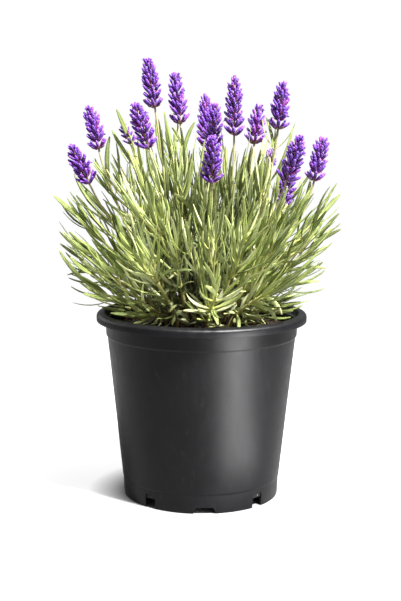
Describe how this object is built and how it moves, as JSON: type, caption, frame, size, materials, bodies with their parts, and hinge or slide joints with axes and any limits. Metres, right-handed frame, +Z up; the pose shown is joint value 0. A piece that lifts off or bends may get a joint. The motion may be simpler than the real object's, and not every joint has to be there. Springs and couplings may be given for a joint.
{
  "type": "potted lavender",
  "caption": "Flowering lavender plant in a round tapered nursery pot filled with peat, with grey-green leafy shoots and violet flower heads.",
  "frame": {"origin": "on the pot's axis, in the plane the pot stands on; the plant's outermost leaf tips are balanced about it", "axes": "+Z up along the pot's axis, +X to the plant's right seen from the front, -Y towards the front"},
  "size_m": [0.2507, 0.2304, 0.393],
  "materials": {
    "pot_plastic": "semi-matte black polypropylene",
    "peat": "rough dark peat and bark substrate",
    "flower_stalk": "matte green stalk with fine down",
    "flower": "matte violet, downy",
    "foliage": "matte grey-green, downy"
  },
  "bodies": {
    "root": {"pot": "pot_plastic", "soil": "peat", "flower_stem_01": "flower_stalk", "flower_stem_02": "flower_stalk", "flower_stem_03": "flower_stalk", "flower_stem_04": "flower_stalk", "flower_stem_05": "flower_stalk", "flower_stem_06": "flower_stalk", "flower_stem_07": "flower_stalk", "flower_stem_08": "flower_stalk", "flower_stem_09": "flower_stalk", "flower_stem_10": "flower_stalk", "flower_stem_11": "flower_stalk", "flower_stem_12": "flower_stalk", "flower_stem_13": "flower_stalk", "flower_stem_14": "flower_stalk", "flower_stem_15": "flower_stalk", "flower_stem_16": "flower_stalk", "flower_head_01": "flower", "flower_head_02": "flower", "flower_head_03": "flower", "flower_head_04": "flower", "flower_head_05": "flower", "flower_head_06": "flower", "flower_head_07": "flower", "flower_head_08": "flower", "flower_head_09": "flower", "flower_head_10": "flower", "flower_head_11": "flower", "flower_head_12": "flower", "flower_head_13": "flower", "flower_head_14": "flower", "flower_head_15": "flower", "flower_head_16": "flower", "leafy_shoot_01": "foliage", "leafy_shoot_02": "foliage", "leafy_shoot_03": "foliage", "leafy_shoot_04": "foliage", "leafy_shoot_05": "foliage", "leafy_shoot_06": "foliage", "leafy_shoot_07": "foliage", "leafy_shoot_08": "foliage", "leafy_shoot_09": "foliage", "leafy_shoot_10": "foliage", "leafy_shoot_11": "foliage", "leafy_shoot_12": "foliage", "leafy_shoot_13": "foliage", "leafy_shoot_14": "foliage", "leafy_shoot_15": "foliage", "leafy_shoot_16": "foliage", "leafy_shoot_17": "foliage", "leafy_shoot_18": "foliage", "leafy_shoot_19": "foliage", "leafy_shoot_20": "foliage", "leafy_shoot_21": "foliage", "leafy_shoot_22": "foliage", "leafy_shoot_23": "foliage", "leafy_shoot_24": "foliage", "leafy_shoot_25": "foliage", "leafy_shoot_26": "foliage"}
  },
  "joints": []
}
